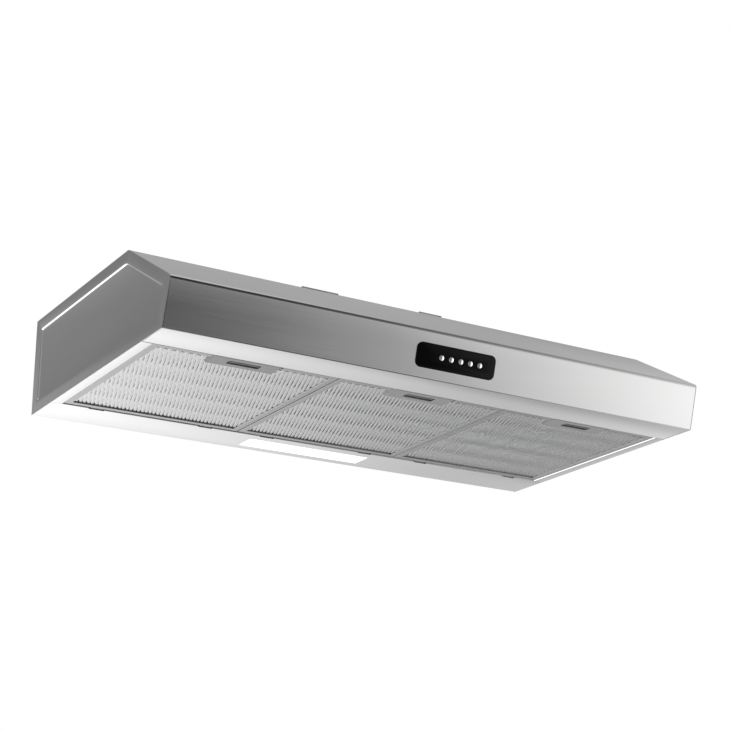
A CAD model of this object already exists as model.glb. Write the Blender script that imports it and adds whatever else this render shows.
"""Under cabinet range hood: the shown model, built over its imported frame.

Everything is in metres in the frame's own axes. The front looks along -Y, Z is up, and the origin is on
the top face, in the middle of its rear edge.
"""

import logging
import math
from collections.abc import Iterable, Sequence
from dataclasses import dataclass, field
from enum import Enum
from typing import Protocol

import bmesh
import bpy
from bmesh.types import BMesh
from mathutils import Matrix, Vector


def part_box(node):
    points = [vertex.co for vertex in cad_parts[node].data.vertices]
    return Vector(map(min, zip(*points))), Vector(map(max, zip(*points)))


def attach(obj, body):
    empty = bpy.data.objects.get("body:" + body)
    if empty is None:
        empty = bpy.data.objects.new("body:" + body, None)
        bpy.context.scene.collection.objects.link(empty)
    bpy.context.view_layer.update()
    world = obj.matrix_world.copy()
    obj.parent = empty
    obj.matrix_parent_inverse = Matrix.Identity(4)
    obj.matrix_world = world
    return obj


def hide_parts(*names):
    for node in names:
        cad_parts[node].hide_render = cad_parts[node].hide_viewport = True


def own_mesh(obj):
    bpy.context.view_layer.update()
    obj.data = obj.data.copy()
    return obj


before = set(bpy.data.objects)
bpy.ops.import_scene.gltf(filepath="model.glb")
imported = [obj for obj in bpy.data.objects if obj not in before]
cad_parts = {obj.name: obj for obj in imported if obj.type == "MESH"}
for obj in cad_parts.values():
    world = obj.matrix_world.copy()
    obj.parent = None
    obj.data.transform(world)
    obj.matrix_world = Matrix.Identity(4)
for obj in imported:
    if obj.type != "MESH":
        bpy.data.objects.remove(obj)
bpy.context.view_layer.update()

LOG = logging.getLogger("range_hood")
SHARP_ANGLE = math.radians(38)
ROUND_ANGLE = math.radians(45)
FOLD_ANGLE = math.radians(50)
COIL_ANGLE = math.radians(60)
NEAR = 1e-5
SAME = 1e-6
REACH = 0.01


class Axis(Enum):
    """An axis, by the index of its coordinate."""

    X = 0
    Y = 1
    Z = 2


# ----------------------------------------------------------------------------------------------------
# Shapes
# ----------------------------------------------------------------------------------------------------


def block(low: Sequence[float], high: Sequence[float]) -> BMesh:
    """Makes a box between two corners.

    Args:
        low: The lowest corner.
        high: The highest corner.

    Returns:
        A new mesh with the box.
    """
    low, high = Vector(low), Vector(high)
    bm = bmesh.new()
    bmesh.ops.create_cube(bm, size=1.0)
    bmesh.ops.scale(bm, vec=high - low, verts=bm.verts)
    bmesh.ops.translate(bm, vec=(low + high) / 2, verts=bm.verts)
    return bm


def rod(radius: float, low: Sequence[float], high: Sequence[float], segments: int = 40) -> BMesh:
    """Makes a round bar between two points.

    Args:
        radius: The bar's radius.
        low: The middle of one end.
        high: The middle of the other end.
        segments: The number of sides.

    Returns:
        A new mesh with the bar.
    """
    low, high = Vector(low), Vector(high)
    bm = bmesh.new()
    bmesh.ops.create_cone(
        bm, cap_ends=True, segments=segments, radius1=radius, radius2=radius, depth=(high - low).length
    )
    turn = (high - low).to_track_quat("Z", "Y").to_matrix().to_4x4()
    bmesh.ops.transform(bm, matrix=Matrix.Translation((low + high) / 2) @ turn, verts=bm.verts)
    return bm


def merge(parts: Iterable[BMesh]) -> BMesh:
    """Joins meshes into one.

    Args:
        parts: The meshes, which are used up.

    Returns:
        A new mesh that holds them all.
    """
    whole = bmesh.new()
    for part in parts:
        carrier = bpy.data.meshes.new("carrier")
        part.to_mesh(carrier)
        part.free()
        whole.from_mesh(carrier)
        bpy.data.meshes.remove(carrier)
    return whole


def bend(bm: BMesh, edges: Sequence[bmesh.types.BMEdge], offset: float, segments: int = 8) -> None:
    """Rounds fold lines or corners.

    Args:
        bm: The mesh that holds the edges.
        edges: The edges to round.
        offset: How far each side is cut back from the edge.
        segments: The number of steps round the bend.
    """
    bmesh.ops.bevel(
        bm,
        geom=list(edges),
        offset=offset,
        offset_type="OFFSET",
        affect="EDGES",
        segments=segments,
        profile=0.5,
        material=-1,
        clamp_overlap=True,
    )


def folded_sheet(
    path: Sequence[Sequence[float]], radii: Sequence[float], run: Sequence[float], outside: Sequence[float]
) -> BMesh:
    """Folds an open sheet along a path.

    Args:
        path: The sheet's outer line, as points in space.
        radii: The outer radius of the bend at each point of the path; the two ends take none.
        run: The direction and length in which the line is drawn out.
        outside: A direction in which the first stretch of sheet faces outwards.

    Returns:
        A new mesh with the sheet's outer skin, facing outwards.
    """
    bm = bmesh.new()
    verts = [bm.verts.new(p) for p in path]
    edges = [bm.edges.new(pair) for pair in zip(verts, verts[1:], strict=False)]
    drawn = bmesh.ops.extrude_edge_only(bm, edges=edges)["geom"]
    bmesh.ops.translate(bm, vec=run, verts=[v for v in drawn if isinstance(v, bmesh.types.BMVert)])
    bm.normal_update()
    middle = (Vector(path[0]) + Vector(path[1])) / 2
    first = min(bm.faces, key=lambda f: (f.calc_center_median() - middle).length)
    if first.normal.dot(Vector(outside)) < 0:
        bmesh.ops.reverse_faces(bm, faces=bm.faces)
    corners = list(zip(path, path[1:], path[2:], strict=False))
    for (before, here, after), radius in zip(corners, radii[1:-1], strict=False):
        if radius <= 0:
            continue
        turn = (Vector(here) - Vector(before)).angle(Vector(after) - Vector(here))
        fold = [
            e
            for e in bm.edges
            if len(e.link_faces) == 2 and all(on_line(v.co, here, run) for v in e.verts)
        ]
        bend(bm, fold, radius * math.tan(turn / 2))
    return bm


def on_line(point: Vector, start: Sequence[float], direction: Sequence[float]) -> bool:
    """Tells whether a point lies on a line, to a hundredth of a millimetre.

    Args:
        point: The point.
        start: A point of the line.
        direction: The line's direction, of any length.

    Returns:
        Whether it does.
    """
    away = point - Vector(start)
    along = Vector(direction).normalized()
    return (away - along * away.dot(along)).length < NEAR


def creases(bm: BMesh) -> list[bmesh.types.BMEdge]:
    """Lists the edges at which two faces meet at a sharp angle.

    Args:
        bm: The mesh, with its normals up to date.

    Returns:
        Those edges.
    """
    return [e for e in bm.edges if len(e.link_faces) == 2 and e.calc_face_angle(0) > FOLD_ANGLE]


def shell_out(bm: BMesh, thickness: float) -> BMesh:
    """Gives an open skin its sheet thickness, on its inner side.

    Args:
        bm: The skin, which is used up.
        thickness: The thickness of the sheet.

    Returns:
        A new, closed mesh.
    """
    host = shape_holder(bm)
    wall = host.modifiers.new("sheet", "SOLIDIFY")
    wall.thickness = thickness
    wall.offset = -1
    wall.use_even_offset = True
    return taken_from(host)


def carve(bm: BMesh, cutters: Sequence[BMesh]) -> BMesh:
    """Cuts shapes out of a closed mesh.

    Args:
        bm: The mesh to cut, which is used up.
        cutters: The closed shapes to take away, which are used up.

    Returns:
        A new mesh without them.
    """
    host = shape_holder(bm)
    tools = [shape_holder(c) for c in cutters]
    for tool in tools:
        cut = host.modifiers.new("cut", "BOOLEAN")
        cut.operation = "DIFFERENCE"
        cut.solver = "EXACT"
        cut.object = tool
    result = taken_from(host)
    for tool in tools:
        drop(tool)
    return result


def shape_holder(bm: BMesh) -> bpy.types.Object:
    """Puts a mesh on a passing object.

    Args:
        bm: The mesh, which is used up.

    Returns:
        The object that holds it.
    """
    mesh = bpy.data.meshes.new("shape")
    bm.to_mesh(mesh)
    bm.free()
    holder = bpy.data.objects.new("shape", mesh)
    bpy.context.scene.collection.objects.link(holder)
    return holder


def taken_from(holder: bpy.types.Object) -> BMesh:
    """Takes the finished mesh off a passing object and removes the object.

    Args:
        holder: The object, with its modifiers.

    Returns:
        A new mesh with the modifiers applied.
    """
    bpy.context.view_layer.update()
    mesh = bpy.data.meshes.new_from_object(holder.evaluated_get(bpy.context.evaluated_depsgraph_get()))
    bm = bmesh.new()
    bm.from_mesh(mesh)
    bpy.data.meshes.remove(mesh)
    drop(holder)
    return bm


def drop(holder: bpy.types.Object) -> None:
    """Removes a passing object and its mesh.

    Args:
        holder: The object.
    """
    mesh = holder.data
    bpy.data.objects.remove(holder)
    bpy.data.meshes.remove(mesh)


def clip(bm: BMesh, low: Sequence[float], high: Sequence[float]) -> None:
    """Cuts away what lies outside an upright box, and closes nothing.

    Args:
        bm: The mesh to trim.
        low: The box's lowest X and Y.
        high: The box's highest X and Y.
    """
    for axis in (0, 1):
        for limit, sign in ((low[axis], -1), (high[axis], 1)):
            normal = Vector((0, 0, 0))
            normal[axis] = sign
            at = Vector((0, 0, 0))
            at[axis] = limit
            bmesh.ops.bisect_plane(
                bm,
                geom=bm.verts[:] + bm.edges[:] + bm.faces[:],
                dist=1e-7,
                plane_co=at,
                plane_no=normal,
                clear_outer=True,
            )


# ----------------------------------------------------------------------------------------------------
# Finishes
# ----------------------------------------------------------------------------------------------------


class Finish(Protocol):
    """What every finish has."""

    @property
    def name(self) -> str:
        """The finish's name."""

    def made(self) -> bpy.types.Material:
        """Builds the material."""


class Recipe:
    """Builds the nodes of one finish."""

    MIX_DARK = 6
    MIX_LIGHT = 7
    MIX_RESULT = 2

    def __init__(self, name: str) -> None:
        """Starts an empty material with a Principled shader, an output and Object coordinates.

        Args:
            name: The material's name.
        """
        self.material = bpy.data.materials.new(name)
        self.material.use_nodes = True
        self.tree = self.material.node_tree
        self.tree.nodes.clear()
        self.output = self.add("ShaderNodeOutputMaterial")
        self.shader = self.add("ShaderNodeBsdfPrincipled")
        self.link(self.shader, "BSDF", self.output, "Surface")
        self.place = self.add("ShaderNodeTexCoord")

    def add(self, kind: str, values: dict[str, object] | None = None, **settings: object) -> bpy.types.Node:
        """Adds a node.

        Args:
            kind: The node's type.
            values: Input values by socket name.
            settings: The node's own settings.

        Returns:
            The new node.
        """
        node = self.tree.nodes.new(kind)
        for key, value in settings.items():
            setattr(node, key, value)
        for key, value in (values or {}).items():
            node.inputs[key].default_value = value
        return node

    def link(self, source: bpy.types.Node, out: str | int, target: bpy.types.Node, into: str | int) -> None:
        """Links one node's output to another node's input."""
        self.tree.links.new(source.outputs[out], target.inputs[into])

    def set(self, **values: object) -> None:
        """Sets the shader's own inputs.

        Args:
            values: Values by input name, with underscores for its spaces.
        """
        for key, value in values.items():
            self.shader.inputs[key.replace("_", " ")].default_value = value

    def mapped(self, scale: Sequence[float], turn: Sequence[float] = (0, 0, 0)) -> bpy.types.Node:
        """Adds a Mapping node on the Object coordinates.

        Args:
            scale: Its scale along each axis.
            turn: Its turn about each axis.

        Returns:
            The new node.
        """
        node = self.add("ShaderNodeMapping", {"Scale": scale, "Rotation": turn})
        self.link(self.place, "Object", node, "Vector")
        return node

    def noise(
        self, vector: bpy.types.Node, scale: float, detail: float = 3.0, rough: float = 0.55
    ) -> bpy.types.Node:
        """Adds a noise texture read at a mapped place.

        Args:
            vector: The Mapping node that gives the place.
            scale: The texture's scale.
            detail: Its number of octaves.
            rough: How much the finer octaves count.

        Returns:
            The new node.
        """
        node = self.add("ShaderNodeTexNoise", {"Scale": scale, "Detail": detail, "Roughness": rough})
        self.link(vector, "Vector", node, "Vector")
        return node

    def ranged(
        self, source: bpy.types.Node, out: str | int, low: float, high: float, span: Sequence[float]
    ) -> bpy.types.Node:
        """Adds a Map Range node.

        Args:
            source: The node to read.
            out: Its output.
            low: The result at the span's start.
            high: The result at the span's end.
            span: The start and end of the values read.

        Returns:
            The new node.
        """
        node = self.add(
            "ShaderNodeMapRange", {"From Min": span[0], "From Max": span[1], "To Min": low, "To Max": high}
        )
        self.link(source, out, node, "Value")
        return node

    def tinted(
        self, source: bpy.types.Node, out: str | int, dark: Sequence[float], light: Sequence[float]
    ) -> None:
        """Adds a mix between two colours and feeds it to the shader's base colour.

        Args:
            source: The node that sets the share of each colour.
            out: Its output.
            dark: The colour at 0.
            light: The colour at 1.
        """
        node = self.add("ShaderNodeMix", data_type="RGBA")
        node.inputs[self.MIX_DARK].default_value = (*dark, 1)
        node.inputs[self.MIX_LIGHT].default_value = (*light, 1)
        self.link(source, out, node, "Factor")
        self.link(node, self.MIX_RESULT, self.shader, "Base Color")

    def bump(self, source: bpy.types.Node, out: str | int, strength: float, distance: float) -> None:
        """Adds a bump from a height and feeds it to the shader.

        Args:
            source: The node that gives the height.
            out: Its output.
            strength: The bump's strength, from 0 to 1.
            distance: The height, in metres, that a change of 1 stands for.
        """
        node = self.add("ShaderNodeBump", {"Strength": strength, "Distance": distance})
        self.link(source, out, node, "Height")
        self.link(node, "Normal", self.shader, "Normal")


@dataclass(frozen=True)
class BrushedSteel:
    """Stainless sheet with a fine brushed grain along one axis."""

    name: str = "brushed_stainless"
    light: tuple[float, float, float] = (0.75, 0.75, 0.747)
    dark: tuple[float, float, float] = (0.71, 0.71, 0.707)
    grain: Axis = Axis.X
    roughness: tuple[float, float] = (0.15, 0.21)
    relief: float = 0.000004

    def made(self) -> bpy.types.Material:
        """Builds the material."""
        r = Recipe(self.name)
        stretch = [1.0, 1.0, 1.0]
        stretch[self.grain.value] = 0.008
        streaks = r.noise(r.mapped(stretch), 900, 2, 0.6)
        broad = r.noise(r.mapped([s if s < 1 else 0.12 for s in stretch]), 160, 3)
        cloud = r.noise(r.mapped((1, 1, 1)), 3.5, 2)
        both = r.add("ShaderNodeMath", operation="ADD")
        r.link(streaks, "Fac", both, 0)
        r.link(broad, "Fac", both, 1)
        halved = r.add("ShaderNodeMath", operation="MULTIPLY")
        halved.inputs[1].default_value = 0.5
        r.link(both, 0, halved, 0)
        r.tinted(halved, 0, self.dark, self.light)
        rough = r.ranged(halved, 0, self.roughness[0], self.roughness[1], (0.35, 0.65))
        wiped = r.add("ShaderNodeMath", operation="MULTIPLY")
        hazy = r.ranged(cloud, "Fac", 0.9, 1.12, (0.3, 0.7))
        r.link(rough, 0, wiped, 0)
        r.link(hazy, 0, wiped, 1)
        r.link(wiped, 0, r.shader, "Roughness")
        r.bump(halved, 0, 0.12, self.relief)
        r.set(Metallic=1.0)
        return r.material


@dataclass(frozen=True)
class PlatedSteel:
    """Zinc plated sheet with faint crystals."""

    name: str = "zinc_plated_sheet"
    light: tuple[float, float, float] = (0.52, 0.53, 0.54)
    dark: tuple[float, float, float] = (0.38, 0.39, 0.4)
    crystal: float = 130.0
    roughness: tuple[float, float] = (0.34, 0.5)

    def made(self) -> bpy.types.Material:
        """Builds the material."""
        r = Recipe(self.name)
        flakes = r.add("ShaderNodeTexVoronoi", {"Scale": self.crystal, "Randomness": 1.0})
        r.link(r.place, "Object", flakes, "Vector")
        grey = r.add("ShaderNodeRGBToBW")
        r.link(flakes, "Color", grey, "Color")
        cloud = r.noise(r.mapped((1, 1, 1)), 25)
        blend = r.add("ShaderNodeMath", operation="MULTIPLY")
        r.link(grey, 0, blend, 0)
        r.link(cloud, "Fac", blend, 1)
        r.tinted(blend, 0, self.dark, self.light)
        rough = r.ranged(grey, 0, self.roughness[0], self.roughness[1], (0, 1))
        r.link(rough, 0, r.shader, "Roughness")
        r.bump(grey, 0, 0.15, 0.00002)
        r.set(Metallic=1.0)
        return r.material


@dataclass(frozen=True)
class Moulded:
    """Moulded or painted plastic with a fine grain."""

    name: str
    light: tuple[float, float, float]
    dark: tuple[float, float, float]
    roughness: tuple[float, float] = (0.4, 0.55)
    grain: float = 1600.0
    relief: float = 0.00002
    coat: float = 0.0
    specular: float = 0.5

    def made(self) -> bpy.types.Material:
        """Builds the material."""
        r = Recipe(self.name)
        fine = r.noise(r.mapped((1, 1, 1)), self.grain, 2)
        cloud = r.noise(r.mapped((1, 1, 1)), 30, 3)
        r.tinted(cloud, "Fac", self.dark, self.light)
        rough = r.ranged(cloud, "Fac", self.roughness[0], self.roughness[1], (0.3, 0.7))
        r.link(rough, 0, r.shader, "Roughness")
        r.bump(fine, "Fac", 0.3, self.relief)
        r.set(Coat_Weight=self.coat, Coat_Roughness=0.04, Specular_IOR_Level=self.specular)
        return r.material


@dataclass(frozen=True)
class Cast:
    """Bare metal with a fine, even grain: aluminium, bronze, ground steel or zinc."""

    name: str
    light: tuple[float, float, float]
    dark: tuple[float, float, float]
    roughness: tuple[float, float] = (0.25, 0.4)
    grain: float = 900.0
    stretch: tuple[float, float, float] = (1.0, 1.0, 1.0)

    def made(self) -> bpy.types.Material:
        """Builds the material."""
        r = Recipe(self.name)
        fine = r.noise(r.mapped(self.stretch), self.grain, 3)
        r.tinted(fine, "Fac", self.dark, self.light)
        rough = r.ranged(fine, "Fac", self.roughness[0], self.roughness[1], (0.3, 0.7))
        r.link(rough, 0, r.shader, "Roughness")
        r.bump(fine, "Fac", 0.2, 0.00001)
        r.set(Metallic=1.0)
        return r.material


@dataclass(frozen=True)
class Glow:
    """A lit lens, a little brighter along its middle."""

    name: str = "lit_lens"
    colour: tuple[float, float, float] = (1.0, 0.99, 0.97)
    strength: float = 1.15

    def made(self) -> bpy.types.Material:
        """Builds the material."""
        r = Recipe(self.name)
        fine = r.noise(r.mapped((1, 1, 1)), 700, 2)
        r.tinted(fine, "Fac", (0.86, 0.87, 0.88), (0.93, 0.94, 0.95))
        r.bump(fine, "Fac", 0.1, 0.00002)
        r.set(Roughness=0.35, Emission_Color=(*self.colour, 1), Emission_Strength=self.strength)
        return r.material


@dataclass(frozen=True)
class Laminated:
    """Stacked and varnished steel laminations along one axis."""

    name: str = "laminations"
    axis: Axis = Axis.X

    def made(self) -> bpy.types.Material:
        """Builds the material."""
        r = Recipe(self.name)
        stripes = r.add("ShaderNodeTexWave", {"Scale": 320.0, "Distortion": 0.0}, bands_direction=self.axis.name)
        r.link(r.place, "Object", stripes, "Vector")
        r.tinted(stripes, "Fac", (0.05, 0.05, 0.055), (0.2, 0.2, 0.21))
        r.bump(stripes, "Fac", 0.5, 0.0001)
        r.set(Metallic=0.8, Roughness=0.45)
        return r.material


# ----------------------------------------------------------------------------------------------------
# Pieces
# ----------------------------------------------------------------------------------------------------


@dataclass
class Workshop:
    """Turns meshes into finished pieces and keeps one material for each finish."""

    materials: dict[str, bpy.types.Material] = field(default_factory=dict)
    count: int = 0

    def material(self, finish: Finish) -> bpy.types.Material:
        """Gives a finish's material, which is made the first time.

        Args:
            finish: The finish.

        Returns:
            Its material.
        """
        if finish.name not in self.materials:
            self.materials[finish.name] = finish.made()
        return self.materials[finish.name]

    def piece(
        self,
        name: str,
        bm: BMesh,
        body: str,
        finish: Finish,
        node: str | None = None,
        edge: float = 0.0,
        segments: int = 2,
        sharp: float = SHARP_ANGLE,
    ) -> bpy.types.Object:
        """Makes a shown piece from a mesh.

        Args:
            name: The piece's name.
            bm: Its mesh, which is used up.
            body: The body it rides on.
            finish: Its finish.
            node: The CAD node it stands for, if any.
            edge: The width of the small round on its sharp edges.
            segments: The number of steps in that round.
            sharp: The angle past which an edge stays sharp.

        Returns:
            The finished piece.
        """
        mesh = bpy.data.meshes.new(name)
        bm.to_mesh(mesh)
        bm.free()
        mesh.polygons.foreach_set("use_smooth", [True] * len(mesh.polygons))
        mesh.set_sharp_from_angle(angle=sharp)
        mesh.materials.append(self.material(finish))
        obj = bpy.data.objects.new(name, mesh)
        bpy.context.scene.collection.objects.link(obj)
        if edge > 0:
            rounding = obj.modifiers.new("small_round", "BEVEL")
            rounding.width = edge
            rounding.segments = segments
            rounding.limit_method = "ANGLE"
            rounding.angle_limit = ROUND_ANGLE
            rounding.harden_normals = True
        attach(obj, body)
        if node:
            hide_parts(node)
        self.count += 1
        LOG.info("%s: %d faces on %s", name, len(mesh.polygons), body)
        return obj

    def dress(self, nodes: Iterable[str], finish: Finish) -> None:
        """Gives CAD nodes that are shown as they are a finish.

        Args:
            nodes: The CAD nodes.
            finish: Their finish.
        """
        material = self.material(finish)
        for node in nodes:
            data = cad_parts[node].data
            data.materials.clear()
            data.materials.append(material)
            LOG.info("%s: finished in %s", node, finish.name)


@dataclass
class HoodBody:
    """The folded stainless body: shell, side panels and rear strip."""

    width: float = 0.9
    depth: float = 0.48
    foot_depth: float = 0.46
    height: float = 0.15
    top_depth: float = 0.34
    front_drop: float = 0.083
    sheet: float = 0.001
    nose_radius: float = 0.007
    bend_radius: float = 0.003
    front_strip: float = 0.064
    rear_strip_depth: float = 0.08
    side_flange: float = 0.018
    lip: float = 0.008
    rim: float = 0.018
    field_depth: float = 0.002
    field_radius: float = 0.006
    seam: float = 0.0007
    screw_inset: float = 0.06
    screw_rows: tuple[float, float] = (-0.29, -0.06)
    keyhole_radius: float = 0.0055
    keyhole_length: float = 0.0165
    window: tuple[float, float] = (0.106, 0.021)
    window_down: float = 0.0372
    window_aside: float = 0.003
    collar_flange: float = 0.008
    collar_gap: float = 0.0003
    hem: float = 0.0012
    press: float = 0.0008
    press_round: float = 0.0003
    fold_inset: float = 0.0008
    fold_width: float = 0.0115
    fold_start: float = 0.025
    strip_lip: float = 0.012
    strip_upstand: float = 0.015
    lens_lip: float = 0.0037
    tab_offset: float = 0.09
    notch: tuple[float, float, float] = (0.024, 0.0035, 0.007)
    steel: BrushedSteel = BrushedSteel()
    side_steel: BrushedSteel = BrushedSteel(
        name="brushed_stainless_side", grain=Axis.Y, light=(0.74, 0.74, 0.737), dark=(0.7, 0.7, 0.697)
    )

    @property
    def outline(self) -> list[tuple[float, float]]:
        """The side's outline as (y, z), from the rear top edge round the front to the rear foot."""
        return [
            (0, 0),
            (-self.top_depth, 0),
            (-self.depth, -self.front_drop),
            (-self.foot_depth, -self.height),
            (0, -self.height),
        ]

    @property
    def lean(self) -> float:
        """The front panel's lean from upright."""
        return math.atan2(self.depth - self.foot_depth, self.height - self.front_drop)

    def panel_frame(self, down: float, x: float = 0.0) -> Matrix:
        """Gives a place on the front panel, with X along the panel, Y up it and Z out of it.

        Args:
            down: How far down the panel the place is.
            x: How far to the right of the hood's middle.

        Returns:
            The matrix that puts a mesh there.
        """
        y = -self.depth + down * math.sin(self.lean)
        z = -self.front_drop - down * math.cos(self.lean)
        return Matrix.Translation((x, y, z)) @ Matrix.Rotation(math.pi / 2 + self.lean, 4, "X")

    def build(self, shop: Workshop) -> None:
        """Builds the body's pieces.

        Args:
            shop: Where pieces are made.
        """
        self.shell(shop)
        for side, node in ((-1, "side_panel_left"), (1, "side_panel_right")):
            self.side_panel(shop, side, node)
        self.rear_strip(shop)

    def shell(self, shop: Workshop) -> None:
        """Builds the one-piece top, slope, front panel and front strip, with its cut-outs.

        Args:
            shop: Where pieces are made.
        """
        half = self.width / 2 - self.sheet - self.seam
        line = self.outline[:4] + [
            (-self.foot_depth + self.front_strip, -self.height),
            (-self.foot_depth + self.front_strip, -self.height + self.lip),
        ]
        radii = [0, self.bend_radius, self.nose_radius, self.bend_radius, self.bend_radius - 0.0005, 0]
        skin = folded_sheet([(-half, y, z) for y, z in line], radii, (2 * half, 0, 0), (0, 0, 1))
        bm = shell_out(skin, self.sheet)
        cutters = [self.duct_cutter(), *self.keyhole_cutters(), self.window_cutter()]
        shop.piece("hood_shell_folded", carve(bm, cutters), "hood", self.steel, "hood_shell", edge=0.0002)

    def duct_cutter(self) -> BMesh:
        """Makes the shape of the duct opening in the top, inside the collar's flange."""
        low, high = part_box("duct_collar")
        wide = (high.x - low.x) / 2 - self.collar_flange + self.collar_gap
        deep = (high.y - low.y) / 2 - self.collar_flange + self.collar_gap
        middle = (low.y + high.y) / 2
        return block((-wide, middle - deep, -REACH), (wide, middle + deep, REACH))

    def keyhole_cutters(self) -> list[BMesh]:
        """Makes the shapes of the four cabinet keyholes, each a round end and a slot."""
        cutters = []
        half_slot = self.keyhole_radius / 2
        slot_reach = REACH * 0.9
        for x in (-self.width / 2 + self.screw_inset, self.width / 2 - self.screw_inset):
            for y in self.screw_rows:
                cutters.append(rod(self.keyhole_radius, (x, y, -REACH), (x, y, REACH)))
                slot_end = (x + half_slot, y + self.keyhole_length, slot_reach)
                cutters.append(block((x - half_slot, y, -slot_reach), slot_end))
        return cutters

    def window_cutter(self) -> BMesh:
        """Makes the shape of the front panel's window behind the fascia."""
        wide, tall = self.window
        window = block((-wide / 2, -tall / 2, -REACH / 2), (wide / 2, tall / 2, REACH / 2))
        place = self.panel_frame(self.window_down, self.window_aside)
        bmesh.ops.transform(window, matrix=place, verts=window.verts)
        return window

    def side_panel(self, shop: Workshop, side: int, node: str) -> None:
        """Builds one side panel.

        Args:
            shop: Where pieces are made.
            side: -1 for the left, 1 for the right.
            node: The CAD node it stands for.
        """
        x = -self.width / 2
        plate = shell_out(self.pressed_plate(x), self.sheet * 0.9)
        folds = [shell_out(skin, self.sheet) for skin in (self.inner_fold(x), self.foot_flange(x))]
        bm = merge([plate, *folds])
        if side > 0:
            bmesh.ops.scale(bm, vec=(-1, 1, 1), verts=bm.verts)
            bmesh.ops.reverse_faces(bm, faces=bm.faces)
        shop.piece(f"{node}_pressed", bm, "hood", self.side_steel, node, edge=0.0003)

    def pressed_plate(self, x: float) -> BMesh:
        """Builds the left panel's outer skin, with its rim and pressed field.

        Args:
            x: The X of the skin's outer face.

        Returns:
            A new, open mesh.
        """
        bm = bmesh.new()
        back = bm.faces.new([bm.verts.new((x + self.sheet, y, z)) for y, z in self.outline])
        grown = bmesh.ops.extrude_face_region(bm, geom=[back])["geom"]
        front_verts = [v for v in grown if isinstance(v, bmesh.types.BMVert)]
        bmesh.ops.translate(bm, vec=(-self.sheet, 0, 0), verts=front_verts)
        if back.is_valid:
            bmesh.ops.delete(bm, geom=[back], context="FACES_ONLY")
        bm.normal_update()
        front = min(bm.faces, key=lambda f: f.calc_center_median().x)
        bmesh.ops.recalc_face_normals(bm, faces=bm.faces)
        if front.normal.x > 0:
            bmesh.ops.reverse_faces(bm, faces=bm.faces)
        bmesh.ops.inset_individual(bm, faces=[front], thickness=self.rim, use_even_offset=True)
        rim_verts = set(front.verts)
        bmesh.ops.inset_individual(
            bm, faces=[front], thickness=self.press, depth=-self.field_depth, use_even_offset=True
        )
        field_verts = set(front.verts)
        corners = [
            e
            for e in bm.edges
            if len(set(e.verts) & rim_verts) == 1 and len(set(e.verts) & field_verts) == 1
        ]
        bend(bm, corners, self.field_radius, 6)
        bm.normal_update()
        deep = x + self.field_depth - NEAR
        bend(bm, [e for e in creases(bm) if min(v.co.x for v in e.verts) > deep], self.press_round, 4)
        bm.normal_update()
        rim_line = [e for e in creases(bm) if max(v.co.x for v in e.verts) < x + NEAR and self.inside(e)]
        bend(bm, rim_line, self.press_round, 4)
        radii = (self.hem, self.bend_radius, self.nose_radius, self.bend_radius, self.hem)
        for (y, z), radius in zip(self.outline, radii, strict=True):
            nook = [
                e for e in bm.edges if all(abs(v.co.y - y) < NEAR and abs(v.co.z - z) < NEAR for v in e.verts)
            ]
            bend(bm, nook, radius * math.tan(self.turn_at(y, z) / 2), 6)
        return bm

    def inner_fold(self, x: float) -> BMesh:
        """Builds the left panel's fold inside the shell, from the rear edge round to the front panel.

        Args:
            x: The X of the panel's outer face.

        Returns:
            A new, open mesh.
        """
        inner = self.sheet
        line = (
            (-inner, -self.height + self.fold_start),
            (-inner, -inner),
            (-self.top_depth + inner * 0.27, -inner),
            (-self.depth + inner * 1.1, -self.front_drop - inner * 0.5),
            (-self.foot_depth + inner * 4.5, -self.height + inner * 11.5),
        )
        path = [(x + self.fold_inset, y, z) for y, z in line]
        return folded_sheet(path, [0, 0, 0.002, 0.004, 0], (self.fold_width, 0, 0), (0, 1, 0))

    def foot_flange(self, x: float) -> BMesh:
        """Builds the left panel's flange and lip at the foot.

        Args:
            x: The X of the panel's outer face.

        Returns:
            A new, open mesh.
        """
        flange = folded_sheet(
            [
                (x + self.fold_inset, 0, -self.height),
                (x + self.side_flange, 0, -self.height),
                (x + self.side_flange, 0, -self.height + self.lip),
            ],
            [0, self.bend_radius / 2, 0],
            (0, -self.foot_depth + self.front_strip + self.rear_strip_depth, 0),
            (0, 0, -1),
        )
        bmesh.ops.translate(flange, vec=(0, -self.rear_strip_depth, 0), verts=flange.verts)
        return flange

    def inside(self, edge: bmesh.types.BMEdge) -> bool:
        """Tells whether a side panel's edge lies inside the rim rather than on the outline.

        Args:
            edge: The edge.

        Returns:
            Whether it does.
        """
        middle = (edge.verts[0].co + edge.verts[1].co) / 2
        half = self.rim / 2
        below_top = -self.height + half < middle.z < -half
        return below_top and middle.y < -half and all(self.from_front(v.co) > half for v in edge.verts)

    def from_front(self, point: Vector) -> float:
        """Measures how far a point lies behind the slope and the front panel.

        Args:
            point: The point.

        Returns:
            The smaller of the two distances.
        """
        slope = Vector((0, -self.front_drop, self.depth - self.top_depth)).normalized()
        panel = Vector((0, -math.cos(self.lean), -math.sin(self.lean)))
        ridge = Vector((point.x, -self.top_depth, 0))
        foot = Vector((point.x, -self.foot_depth, -self.height))
        return min(-(point - ridge).dot(slope), -(point - foot).dot(panel))

    def turn_at(self, y: float, z: float) -> float:
        """Gives the angle by which the outline turns at one of its corners.

        Args:
            y: The corner's Y.
            z: The corner's Z.

        Returns:
            The angle.
        """
        i = self.outline.index((y, z))
        before, after = self.outline[i - 1], self.outline[(i + 1) % len(self.outline)]
        return Vector((y - before[0], z - before[1])).angle(Vector((after[0] - y, after[1] - z)))

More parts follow.
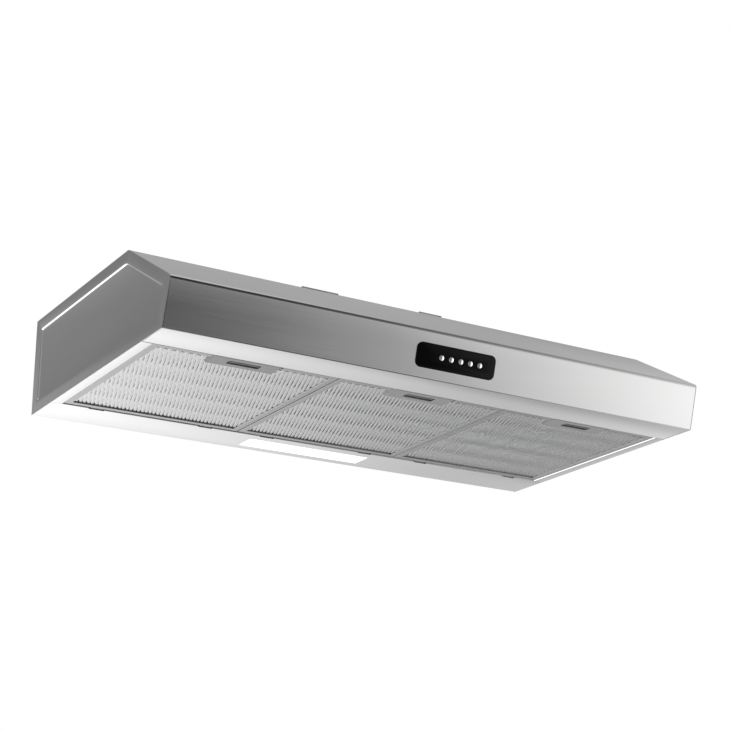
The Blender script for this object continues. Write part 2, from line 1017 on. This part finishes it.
    def rear_strip(self, shop: Workshop) -> None:
        """Builds the strip along the wall, with its tab notches and light window.

        Args:
            shop: Where pieces are made.
        """
        half = self.width / 2 - self.sheet
        floor = -self.height
        skin = folded_sheet(
            [
                (-half, -self.rear_strip_depth, floor + self.strip_lip),
                (-half, -self.rear_strip_depth, floor),
                (-half, -self.sheet, floor),
                (-half, -self.sheet, floor + self.strip_upstand),
            ],
            [0, 0.0014, 0.001, 0],
            (2 * half, 0, 0),
            (0, -1, 0),
        )
        low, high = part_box("led_lens")
        lens_low = (low.x + self.lens_lip, low.y + self.lens_lip, floor - REACH)
        lens_high = (high.x - self.lens_lip, high.y - self.lens_lip, floor + REACH)
        cutters = [block(lens_low, lens_high)]
        wide, deep, tall = self.notch
        front = -self.rear_strip_depth - self.sheet
        rear = -self.rear_strip_depth + deep
        for i in (1, 2, 3):
            left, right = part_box(f"filter_frame_{i}")
            for s in (-1, 1):
                x = (left.x + right.x) / 2 + s * self.tab_offset
                notch_low = (x - wide / 2, front, floor - self.sheet)
                cutters.append(block(notch_low, (x + wide / 2, rear, floor + tall)))
        strip = carve(shell_out(skin, self.sheet), cutters)
        shop.piece("rear_strip_folded", strip, "hood", self.steel, "rear_strip", edge=0.0002)


@dataclass
class GreaseFilters:
    """Three aluminium filters with their latches."""

    numbers: tuple[int, ...] = (1, 2, 3)
    rail: float = 0.01
    pitch: float = 0.0062
    strand: float = 0.0043
    slant: float = 18.0
    crossing: float = 2.7
    ridge: float = 0.00016
    layer_gap: float = 0.0007
    packing_gap: float = 0.0016
    mesh_margin: float = 0.0085
    tab_offset: float = 0.09
    tab_half: float = 0.01
    tab_thickness: float = 0.001
    pivot_gap: float = 0.0025
    bead_radius: float = 0.0008
    fit: float = 0.0002
    latch_travel: float = 0.0035
    frame_metal: Cast = Cast(
        "rolled_aluminium", (0.37, 0.37, 0.375), (0.3, 0.3, 0.305), (0.24, 0.34), 500, (0.05, 1, 1)
    )
    mesh_metal: Cast = Cast("expanded_aluminium", (0.58, 0.58, 0.585), (0.5, 0.5, 0.505), (0.22, 0.32), 400)
    felt_metal: Cast = Cast("packed_aluminium", (0.56, 0.56, 0.565), (0.48, 0.48, 0.485), (0.3, 0.4), 350)
    latch_plastic: Moulded = Moulded("latch_grey", (0.28, 0.28, 0.285), (0.25, 0.25, 0.255), (0.42, 0.55))
    spring_steel: Cast = Cast("spring_steel", (0.6, 0.6, 0.6), (0.45, 0.45, 0.45))

    def build(self, shop: Workshop) -> None:
        """Builds each filter with its latch.

        Args:
            shop: Where pieces are made.
        """
        for i in self.numbers:
            self.rails(shop, i)
            self.layers(shop, i)
            self.latch(shop, i)

    def rails(self, shop: Workshop, i: int) -> None:
        """Builds the frame of a filter, with its two rear tabs.

        Args:
            shop: Where pieces are made.
            i: The filter's number.
        """
        low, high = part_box(f"filter_frame_{i}")
        _, mesh_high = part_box(f"filter_mesh_{i}")
        rear = mesh_high.y + 0.001
        plate_low, plate_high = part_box(f"latch_plate_{i}")
        body = block(low, (high.x, rear, high.z))
        window = block(
            (low.x + self.rail, low.y + self.rail, low.z - REACH),
            (high.x - self.rail, rear - self.rail, high.z + REACH),
        )
        seat = block(
            (plate_low.x - self.fit, plate_low.y - 0.002, plate_low.z - 0.001),
            (plate_high.x + self.fit, plate_high.y + self.fit, plate_high.z + self.fit),
        )
        ring = carve(body, [window, seat])
        middle = (low.x + high.x) / 2
        tab_low = low.z + 0.0003
        tabs, beads = [], []
        for s in (-1, 1):
            x0 = middle + s * self.tab_offset - self.tab_half
            x1 = middle + s * self.tab_offset + self.tab_half
            tabs.append(block((x0, rear - 0.002, tab_low), (x1, high.y, tab_low + self.tab_thickness)))
            bead = (rear + self.pivot_gap, tab_low + self.tab_thickness / 2)
            beads.append(rod(self.bead_radius, (x0 + 0.0001, *bead), (x1 - 0.0001, *bead), 20))
        shop.piece(
            f"filter_rails_{i}",
            merge([ring, *tabs, *beads]),
            f"filter_{i}",
            self.frame_metal,
            f"filter_frame_{i}",
            edge=0.0012,
            segments=3,
        )

    def layers(self, shop: Workshop, i: int) -> None:
        """Builds the crossed layers of expanded mesh of a filter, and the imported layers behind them.

        Args:
            shop: Where pieces are made.
            i: The filter's number.
        """
        low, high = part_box(f"filter_mesh_{i}")
        inner = self.mesh_margin
        floor = low.z + 0.0004
        limits = (low.x + inner, high.x - inner, low.y + inner, high.y - inner)
        front = self.strands(*limits, floor, self.pitch, self.slant + self.crossing, self.ridge)
        above = floor + self.layer_gap
        behind = self.strands(*limits, above, self.pitch, self.slant - self.crossing, self.ridge)
        low_plate, high_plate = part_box(f"latch_plate_{i}")
        for layer in (front, behind):
            inside = [
                f
                for f in layer.faces
                if low_plate.x < f.calc_center_median().x < high_plate.x
                and f.calc_center_median().y < high_plate.y
            ]
            bmesh.ops.delete(layer, geom=inside, context="FACES")
        shop.piece(
            f"filter_mesh_layers_{i}",
            merge([front, behind]),
            f"filter_{i}",
            self.mesh_metal,
            f"filter_mesh_{i}",
            sharp=COIL_ANGLE,
        )
        felt = block((low.x, low.y, floor + self.packing_gap), high)
        seat = block(
            (low_plate.x, low.y - REACH, floor - REACH),
            (high_plate.x, high_plate.y + self.fit, high_plate.z + self.fit),
        )
        packed = shop.piece(f"filter_packing_{i}", carve(felt, [seat]), f"filter_{i}", self.felt_metal)

    def strands(
        self, x0: float, x1: float, y0: float, y1: float, z: float, pitch: float, slant: float, height: float
    ) -> BMesh:
        """Builds one layer of expanded mesh.

        Args:
            x0: The left limit.
            x1: The right limit.
            y0: The front limit.
            y1: The rear limit.
            z: The lower face of the layer.
            pitch: The distance from strand to strand.
            slant: The angle of the strands from the depth, in degrees.
            height: The height of a strand's ridge.

        Returns:
            A new mesh with the strands, trimmed to the limits.
        """
        length = (y1 - y0) * 1.04
        lean = math.tan(math.radians(slant))
        steps = 2 * round(length / (pitch * 4))
        strand = bmesh.new()
        bmesh.ops.create_grid(strand, x_segments=2, y_segments=steps, size=0.5)
        for v in strand.verts:
            row = round((v.co.y + 0.5) * steps)
            swing = (-1) ** row * pitch * 0.04
            ridge = height if abs(v.co.x) < 0.1 else 0.0
            y = v.co.y * length
            v.co = (v.co.x * self.strand + swing + y * lean, y, -ridge)
        bmesh.ops.recalc_face_normals(strand, faces=strand.faces)
        if sum(f.normal.z for f in strand.faces) > 0:
            bmesh.ops.reverse_faces(strand, faces=strand.faces)
        reach = (x1 - x0) / 2 + length / 2 * abs(lean) + pitch
        count = int(2 * reach / pitch)
        middle = Vector(((x0 + x1) / 2, (y0 + y1) / 2, z + height))
        source = strand.verts[:] + strand.edges[:] + strand.faces[:]
        for k in range(count):
            copy = bmesh.ops.duplicate(strand, geom=source)["geom"]
            verts = [v for v in copy if isinstance(v, bmesh.types.BMVert)]
            if k % 2:
                bmesh.ops.translate(strand, vec=(0, length / steps, 0), verts=verts)
                for v in verts:
                    v.co.x += lean * length / steps
            bmesh.ops.translate(strand, vec=middle + Vector(((k - count / 2) * pitch, 0, 0)), verts=verts)
        bmesh.ops.delete(strand, geom=[v for v in source if isinstance(v, bmesh.types.BMVert)], context="VERTS")
        clip(strand, (x0, y0), (x1, y1))
        return strand

    def latch(self, shop: Workshop, i: int) -> None:
        """Builds the latch plate, its slide and its springs on a filter.

        Args:
            shop: Where pieces are made.
            i: The filter's number.
        """
        low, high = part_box(f"latch_plate_{i}")
        middle = (low.x + high.x) / 2
        plate = block(low, high)
        ends = [
            e
            for e in plate.edges
            if all(abs(v.co.z - low.z) < SAME for v in e.verts)
            and abs(e.verts[0].co.x - e.verts[1].co.x) < SAME
        ]
        bend(plate, ends, 0.0042, 1)
        slide_low, slide_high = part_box(f"latch_slide_{i}")
        slot_front, slot_rear = (low.y + high.y) / 2 - 0.0065, (low.y + high.y) / 2 + 0.0065
        opening = block(
            (middle - 0.025, slot_front, low.z - 0.002), (middle + 0.025, slot_rear, low.z + 0.003)
        )
        upright = [e for e in opening.edges if abs(e.verts[0].co.z - e.verts[1].co.z) > 1e-4]
        bend(opening, upright, 0.0025, 5)
        cavity = block(
            (middle - 0.035, low.y + 0.001, low.z + 0.0015), (middle + 0.035, high.y - 0.001, high.z + 0.001)
        )
        gate = block(
            (middle - 0.0165, low.y - 0.001, slide_high.z - 0.0018),
            (middle + 0.0165, low.y + 0.002, high.z + 0.001),
        )
        shop.piece(
            f"latch_plate_moulded_{i}",
            carve(plate, [opening, cavity, gate]),
            f"filter_{i}",
            self.latch_plastic,
            f"latch_plate_{i}",
            edge=0.0005,
            segments=3,
        )
        self.slide(shop, i, middle, slide_low, slide_high, slot_front)
        self.springs(shop, i)

    def slide(self, shop: Workshop, i: int, middle: float, low: Vector, high: Vector, slot_front: float) -> None:
        """Builds the sliding latch i.

        Args:
            shop: Where pieces are made.
            i: The filter's number.
            middle: The X of the filter's middle.
            low: The slide's lowest corner.
            high: The slide's highest corner.
            slot_front: The front edge of the finger slot.
        """
        deck = high.z - 0.0015
        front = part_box(f"latch_plate_{i}")[0].y + 0.0025
        tongue = block((middle - 0.016, low.y, deck), (middle + 0.016, front + 0.001, high.z))
        nose = [
            e
            for e in tongue.edges
            if all(abs(v.co.y - low.y) < SAME and v.co.z < deck + NEAR for v in e.verts)
        ]
        bend(tongue, nose, 0.0008, 3)
        board = block((middle - 0.025, front, deck), (middle + 0.025, high.y, high.z))
        grip_y = slot_front + 0.005
        grip = block((middle - 0.024, grip_y, low.z), (middle + 0.024, grip_y + 0.0022, deck + 0.0005))
        ears = [
            block((x - 0.005, front, low.z + 0.0024), (x + 0.005, front + 0.002, high.z))
            for x in (middle - 0.029, middle + 0.029)
        ]
        shop.piece(
            f"latch_slide_moulded_{i}",
            merge([tongue, board, grip, *ears]),
            f"latch_{i}",
            self.latch_plastic,
            f"latch_slide_{i}",
            edge=0.0003,
        )

    def springs(self, shop: Workshop, i: int) -> None:
        """Builds the two coil springs of a latch.

        Args:
            shop: Where pieces are made.
            i: The filter's number.
        """
        low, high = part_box(f"latch_spring_{i}")
        coils = []
        turns, steps = 9, 20
        radius, wire = 0.0018, 0.0004
        centre = (low.x + high.x) / 2
        reach = (high.x - low.x) / 2 - radius - wire
        for s in (-1, 1):
            axle = Vector((centre + s * reach, low.y + wire, (low.z + high.z) / 2))
            coil = bmesh.new()
            ring = bmesh.ops.create_circle(coil, segments=8, radius=wire)["verts"]
            bmesh.ops.translate(coil, vec=(radius, 0, 0), verts=ring)
            bmesh.ops.rotate(coil, cent=(radius, 0, 0), matrix=Matrix.Rotation(math.pi / 2, 3, "X"), verts=ring)
            bmesh.ops.rotate(coil, cent=(0, 0, 0), matrix=Matrix.Rotation(math.pi / 2, 3, "X"), verts=ring)
            bmesh.ops.translate(coil, vec=axle, verts=ring)
            bmesh.ops.spin(
                coil,
                geom=coil.verts[:] + coil.edges[:],
                cent=axle,
                axis=(0, 1, 0),
                dvec=(0, (high.y - low.y - 2 * wire) / (turns * steps), 0),
                angle=2 * math.pi * turns,
                steps=turns * steps,
                use_merge=False,
            )
            bmesh.ops.holes_fill(coil, edges=coil.edges, sides=8)
            bmesh.ops.recalc_face_normals(coil, faces=coil.faces)
            coils.append(coil)
        spring = shop.piece(
            f"latch_springs_wound_{i}",
            merge(coils),
            f"filter_{i}",
            self.spring_steel,
            f"latch_spring_{i}",
            sharp=COIL_ANGLE,
        )
        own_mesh(spring)


@dataclass
class Controls:
    """The black fascia and its five buttons."""

    body: HoodBody
    below_middle: float = 0.0022
    aside: float = 0.003
    width: float = 0.134
    height: float = 0.036
    corner: float = 0.009
    thickness: float = 0.002
    button_radius: float = 0.004
    button_pitch: float = 0.0164
    button_shift: float = 0.007
    proud: float = 0.0016
    well_gap: float = 0.0003
    pillar_offset: float = 0.0495
    pillar_radius: float = 0.003
    gloss: Moulded = Moulded(
        "gloss_black", (0.0068, 0.0068, 0.007), (0.0055, 0.0055, 0.0057), (0.1, 0.16), 900, 0.000004, 0.0, 0.07
    )
    cap: Cast = Cast("satin_cap", (0.86, 0.86, 0.86), (0.78, 0.78, 0.78), (0.22, 0.3), 700)

    def build(self, shop: Workshop) -> None:
        """Builds the fascia and its buttons.

        Args:
            shop: Where pieces are made.
        """
        length = math.hypot(self.body.depth - self.body.foot_depth, self.body.height - self.body.front_drop)
        place = self.body.panel_frame(length / 2 + self.below_middle, self.aside)
        self.fascia(shop, place)
        for i in range(1, 6):
            self.button(shop, i, place)

    def button_x(self, i: int) -> float:
        """The X of button i on the fascia."""
        return self.button_shift + (i - 3) * self.button_pitch

    def fascia(self, shop: Workshop, place: Matrix) -> None:
        """Builds the fascia plate with its button wells.

        Args:
            shop: Where pieces are made.
            place: The place on the front panel.
        """
        plate = block((-self.width / 2, -self.height / 2, 0), (self.width / 2, self.height / 2, self.thickness))
        upright = [e for e in plate.edges if abs(e.verts[0].co.z - e.verts[1].co.z) > 1e-5]
        bend(plate, upright, self.corner, 10)
        rim = [e for e in plate.edges if all(abs(v.co.z - self.thickness) < SAME for v in e.verts)]
        bend(plate, rim, 0.0006, 3)
        tray = block((-0.0527, -0.0102, -0.003), (0.0527, 0.0102, 0.0002))
        pillars = [
            rod(self.pillar_radius, (x, 0, -0.0078), (x, 0, 0.0001))
            for x in (-self.pillar_offset, self.pillar_offset)
        ]
        bm = merge([carve(plate, self.wells() + self.dishes()), carve(tray, self.wells()), *pillars])
        bmesh.ops.transform(bm, matrix=place, verts=bm.verts)
        shop.piece("control_fascia_moulded", bm, "hood", self.gloss, "control_fascia")

    def wells(self) -> list[BMesh]:
        """Makes the shapes of the five holes that the buttons slide in."""
        radius = self.button_radius + self.well_gap
        places = [self.button_x(i) for i in range(1, 6)]
        return [rod(radius, (x, 0, -REACH), (x, 0, REACH), 48) for x in places]

    def dishes(self) -> list[BMesh]:
        """Makes the shapes of the five flared mouths of those holes."""
        dishes = []
        inner, outer = self.button_radius + 0.0001, self.button_radius + 0.0013
        for i in range(1, 6):
            dish = bmesh.new()
            bmesh.ops.create_cone(
                dish, cap_ends=True, segments=48, radius1=inner, radius2=outer, depth=0.0012
            )
            bmesh.ops.translate(dish, vec=(self.button_x(i), 0, self.thickness), verts=dish.verts)
            dishes.append(dish)
        return dishes

    def button(self, shop: Workshop, i: int, place: Matrix) -> None:
        """Builds a button: a domed cap with a collar and a stem.

        Args:
            shop: Where pieces are made.
            i: The button's number.
            place: The place on the front panel.
        """
        top = self.thickness + self.proud
        r = self.button_radius
        profile = [
            (0, top),
            (r * 0.35, top - 0.0001),
            (r * 0.7, top - 0.0004),
            (r * 0.92, top - 0.0008),
            (r, top - 0.0014),
            (r, -0.0033),
            (r + 0.0013, -0.0033),
            (r + 0.0013, -0.0043),
            (r * 0.55, -0.0043),
            (r * 0.55, -0.0118),
            (0, -0.0118),
        ]
        bm = bmesh.new()
        verts = [bm.verts.new((x, 0, z)) for x, z in profile]
        edges = [bm.edges.new(pair) for pair in zip(verts, verts[1:], strict=False)]
        bmesh.ops.spin(
            bm, geom=verts + edges, cent=(0, 0, 0), axis=(0, 0, 1), angle=2 * math.pi, steps=40, use_merge=True
        )
        bmesh.ops.remove_doubles(bm, verts=bm.verts, dist=1e-6)
        bmesh.ops.recalc_face_normals(bm, faces=bm.faces)
        bmesh.ops.transform(bm, matrix=place @ Matrix.Translation((self.button_x(i), 0, 0)), verts=bm.verts)
        shop.piece(f"button_cap_{i}", bm, f"push_button_{i}", self.cap, f"button_{i}")


@dataclass
class LightBar:
    """The lens of the light in the rear strip."""

    glow: Glow = Glow()

    def build(self, shop: Workshop) -> None:
        """Builds the lens.

        Args:
            shop: Where pieces are made.
        """
        low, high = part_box("led_lens")
        lip = 0.004
        window = block((low.x + lip, low.y + lip, low.z), (high.x - lip, high.y - lip, low.z + 0.002))
        lower = [e for e in window.edges if all(abs(v.co.z - low.z) < SAME for v in e.verts)]
        bend(window, lower, 0.0003, 3)
        flange = block((low.x, low.y, high.z - 0.0015), (high.x, high.y, high.z))
        shop.piece("led_lens_frosted", merge([window, flange]), "hood", self.glow, "led_lens")


@dataclass
class InnerWorks:
    """The CAD nodes that are shown as they are, with their finishes."""

    plated: tuple[str, ...] = (
        "back_panel", "knockout_cover", "scroll_wrap", "scroll_end_left", "scroll_end_right", "impeller",
        "motor_can", "motor_cap", "motor_spider", "duct_collar", "damper_flap_front", "damper_flap_rear",
        "capacitor_clip",
        "terminal_box", "terminal_cover",
    )
    white: tuple[str, ...] = ("led_tray", "led_driver", "capacitor")
    dark: tuple[str, ...] = ("switch_block", "cable_bushing")
    zinc: tuple[str, ...] = ("knockout_screws", "control_screws", "motor_screws", "blower_screws")

    def build(self, shop: Workshop) -> None:
        """Finishes each node.

        Args:
            shop: Where pieces are made.
        """
        shop.dress(self.plated, PlatedSteel())
        shop.dress(self.white, Moulded("white_plastic", (0.78, 0.78, 0.76), (0.7, 0.7, 0.68)))
        shop.dress(("led_board",), Moulded("solder_mask", (0.8, 0.82, 0.8), (0.7, 0.73, 0.7), (0.3, 0.4), 2000))
        shop.dress(self.dark, Moulded("dark_plastic", (0.04, 0.04, 0.043), (0.025, 0.025, 0.028)))
        shop.dress(("terminal_block",), Moulded("ivory_plastic", (0.72, 0.68, 0.55), (0.66, 0.62, 0.5)))
        tape = Moulded("taped_loom", (0.03, 0.03, 0.033), (0.015, 0.015, 0.017), (0.5, 0.7), 300, 0.0003)
        ground = Cast("ground_shaft", (0.62, 0.62, 0.62), (0.5, 0.5, 0.5), (0.15, 0.28), 900, (0.02, 1, 1))
        bronze = Cast("sintered_bronze", (0.6, 0.4, 0.19), (0.42, 0.27, 0.12), (0.35, 0.5))
        shop.dress(("wiring_loom",), tape)
        shop.dress(("rotor_shaft",), ground)
        shop.dress(("bearing_front", "bearing_rear"), bronze)
        shop.dress(("motor_stator", "motor_rotor"), Laminated())
        shop.dress(self.zinc, Cast("zinc_screws", (0.66, 0.66, 0.64), (0.5, 0.5, 0.49)))
        shop.dress(("terminal_screws",), Cast("brass_screws", (0.68, 0.52, 0.26), (0.5, 0.36, 0.16)))


# ----------------------------------------------------------------------------------------------------
# Studio
# ----------------------------------------------------------------------------------------------------


@dataclass(frozen=True)
class Panel:
    """One bright or dark region of the studio's surroundings, by the direction towards its middle."""

    azimuth: float
    elevation: float
    inner: float
    outer: float
    level: float

    @property
    def direction(self) -> Vector:
        """The unit vector towards the middle: azimuth 0 is behind the hood, 90 to its right."""
        a, e = math.radians(self.azimuth), math.radians(self.elevation)
        return Vector((math.sin(a) * math.cos(e), math.cos(a) * math.cos(e), math.sin(e)))


@dataclass
class Studio:
    """White surroundings with softly lit panels, a pale floor and the camera."""

    target: tuple[float, float, float] = (-0.0084, -0.241, -0.0615)
    azimuth: float = -31.56
    elevation: float = -18.44
    distance: float = 2.6138
    lens: float = 83.88
    base: float = 0.293
    panels: tuple[Panel, ...] = (
        Panel(95, -2, 0, 62, 2.85),
        Panel(153, -20, 12, 18, -0.18),
        Panel(28, 48, 20, 25, 0.25),
        Panel(26, 0, 20, 25, 0.45),
        Panel(-22, -35, 0, 57, 2.37),
        Panel(135, 38, 22, 38, -0.33),
        Panel(-168, 18, 12, 26, -0.28),
        Panel(98, -60, 14, 36, -0.3),
        Panel(0, 90, 15, 40, 0.8),
        Panel(-100, 10, 15, 50, 0.4),
    )

    def build(self) -> None:
        """Builds the surroundings, the floor and the camera."""
        self.camera()
        self.surroundings()
        self.floor()

    def camera(self) -> None:
        """Sets the camera up."""
        a, e = math.radians(self.azimuth), math.radians(self.elevation)
        back = Vector((math.sin(a) * math.cos(e), -math.cos(a) * math.cos(e), math.sin(e)))
        data = bpy.data.cameras.new("camera")
        data.lens = self.lens
        data.sensor_width = 36
        obj = bpy.data.objects.new("camera", data)
        obj.location = Vector(self.target) + back * self.distance
        obj.rotation_euler = (-back).to_track_quat("-Z", "Y").to_euler()
        bpy.context.scene.collection.objects.link(obj)
        bpy.context.scene.camera = obj

    def surroundings(self) -> None:
        """Lights the hood from all round, and leaves a white background."""
        world = bpy.data.worlds.new("studio")
        bpy.context.scene.world = world
        world.use_nodes = True
        tree = world.node_tree
        tree.nodes.clear()
        out = tree.nodes.new("ShaderNodeOutputWorld")
        coords = tree.nodes.new("ShaderNodeTexCoord")
        level = None
        for panel in self.panels:
            dot = tree.nodes.new("ShaderNodeVectorMath")
            dot.operation = "DOT_PRODUCT"
            dot.inputs[1].default_value = panel.direction
            tree.links.new(coords.outputs["Generated"], dot.inputs[0])
            shape = tree.nodes.new("ShaderNodeMapRange")
            shape.interpolation_type = "SMOOTHSTEP"
            shape.inputs["From Min"].default_value = math.cos(math.radians(panel.outer))
            shape.inputs["From Max"].default_value = math.cos(math.radians(panel.inner))
            shape.inputs["To Min"].default_value = 0.0
            shape.inputs["To Max"].default_value = panel.level
            tree.links.new(dot.outputs["Value"], shape.inputs["Value"])
            add = tree.nodes.new("ShaderNodeMath")
            add.operation = "ADD"
            add.inputs[0].default_value = self.base
            if level:
                tree.links.new(level.outputs[0], add.inputs[0])
            tree.links.new(shape.outputs[0], add.inputs[1])
            level = add
        clamp = tree.nodes.new("ShaderNodeMath")
        clamp.operation = "MAXIMUM"
        clamp.inputs[1].default_value = 0.02
        tree.links.new(level.outputs[0], clamp.inputs[0])
        lit = tree.nodes.new("ShaderNodeBackground")
        tree.links.new(clamp.outputs[0], lit.inputs["Strength"])
        plain = tree.nodes.new("ShaderNodeBackground")
        plain.inputs["Strength"].default_value = 1.0
        plain.inputs["Color"].default_value = (1, 1, 1, 1)
        path = tree.nodes.new("ShaderNodeLightPath")
        mix = tree.nodes.new("ShaderNodeMixShader")
        tree.links.new(path.outputs["Is Camera Ray"], mix.inputs[0])
        tree.links.new(lit.outputs[0], mix.inputs[1])
        tree.links.new(plain.outputs[0], mix.inputs[2])
        tree.links.new(mix.outputs[0], out.inputs["Surface"])

    def floor(self) -> None:
        """Lays a pale floor well below the hood."""
        bm = bmesh.new()
        bmesh.ops.create_circle(bm, cap_ends=True, segments=64, radius=1.0)
        bmesh.ops.translate(bm, vec=(0, -0.3, -3.2), verts=bm.verts)
        mesh = bpy.data.meshes.new("floor")
        bm.to_mesh(mesh)
        bm.free()
        mesh.materials.append(Moulded("pale_floor", (0.8, 0.8, 0.8), (0.78, 0.78, 0.78), (0.7, 0.8), 60).made())
        obj = bpy.data.objects.new("floor", mesh)
        bpy.context.scene.collection.objects.link(obj)


def plain(box: Iterable[Vector]) -> list[list[float]]:
    """Turns a box's corners into plain lists of numbers."""
    return [list(corner) for corner in box]


def main() -> None:
    """Builds the hood and its studio."""
    logging.basicConfig(level=logging.INFO, format="%(name)s: %(message)s")
    Studio().build()
    shop = Workshop()
    body = HoodBody()
    for assembly in (body, LightBar(), Controls(body), GreaseFilters(), InnerWorks()):
        assembly.build(shop)
        LOG.info("%s is built", type(assembly).__name__)
    scene = bpy.context.scene
    scene.view_settings.view_transform = "Standard"
    LOG.info("%d pieces", shop.count)


if __name__ == "__main__":
    main()
